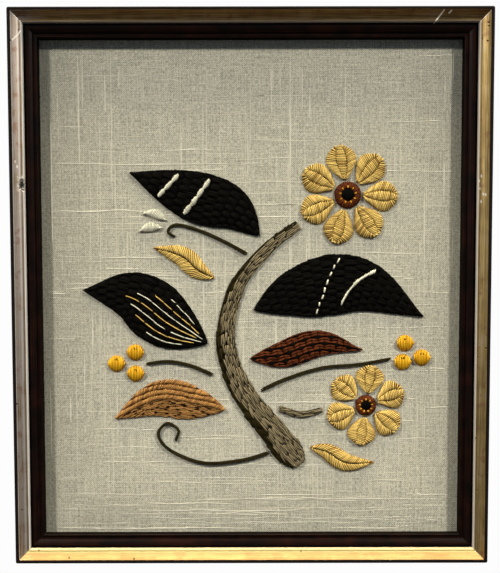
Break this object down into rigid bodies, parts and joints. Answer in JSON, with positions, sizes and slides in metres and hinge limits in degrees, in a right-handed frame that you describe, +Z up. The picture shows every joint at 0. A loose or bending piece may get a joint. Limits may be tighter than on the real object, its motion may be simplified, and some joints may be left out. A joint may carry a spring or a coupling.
{
  "type": "framed embroidery with wooden picture frame",
  "caption": "Stranded wool embroidery of leaves, blossoms and a bough on slub linen, in a gilt and dark wood frame.",
  "frame": {"origin": "on the back of the top rail, at the middle of its length and width, where the frame meets the wall", "axes": "+X to the viewer's right, +Y into the wall, so the picture faces -Y, and +Z up"},
  "size_m": [0.42, 0.028, 0.486],
  "materials": {
    "gilt": "worn metallic gold over dark stain",
    "dark_stain": "dark brown satin stain",
    "board": "plain fibreboard",
    "linen": "plain slub weave",
    "yarn_black": "stranded crewel wool",
    "yarn_russet": "stranded crewel wool",
    "yarn_tan": "stranded crewel wool",
    "yarn_straw": "stranded crewel wool with a soft sheen",
    "yarn_gold": "stranded crewel wool with a soft sheen",
    "yarn_taupe": "stranded crewel wool",
    "yarn_olive": "stranded crewel wool",
    "yarn_cream": "stranded crewel wool"
  },
  "bodies": {
    "root": {"backing_board": "board", "berry_east_1": "yarn_gold", "berry_east_2": "yarn_gold", "berry_east_3": "yarn_gold", "berry_west_1": "yarn_gold", "berry_west_2": "yarn_gold", "berry_west_3": "yarn_gold", "blossom_lower_core": "yarn_russet", "blossom_lower_petal_1": "yarn_straw", "blossom_lower_petal_2": "yarn_straw", "blossom_lower_petal_3": "yarn_straw", "blossom_lower_petal_4": "yarn_straw", "blossom_lower_petal_5": "yarn_straw", "blossom_lower_petal_6": "yarn_straw", "blossom_upper_core": "yarn_russet", "blossom_upper_petal_1": "yarn_straw", "blossom_upper_petal_2": "yarn_straw", "blossom_upper_petal_3": "yarn_straw", "blossom_upper_petal_4": "yarn_straw", "blossom_upper_petal_5": "yarn_straw", "blossom_upper_petal_6": "yarn_straw", "blossom_upper_petal_7": "yarn_straw", "bough": "yarn_taupe", "bud_cream_lower": "yarn_cream", "bud_cream_upper": "yarn_cream", "dark_rail_bottom": "dark_stain", "dark_rail_left": "dark_stain", "dark_rail_right": "dark_stain", "dark_rail_top": "dark_stain", "gilt_rail_bottom": "gilt", "gilt_rail_left": "gilt", "gilt_rail_right": "gilt", "gilt_rail_top": "gilt", "leaf_east": "yarn_black", "leaf_flecked": "yarn_tan", "leaf_north": "yarn_black", "leaf_russet": "yarn_russet", "leaf_small_lower": "yarn_straw", "leaf_small_upper": "yarn_straw", "leaf_west": "yarn_black", "linen": "linen", "tendril_east": "yarn_olive", "tendril_north": "yarn_olive", "tendril_south": "yarn_olive", "tendril_west": "yarn_olive", "twig": "yarn_taupe"}
  },
  "joints": []
}
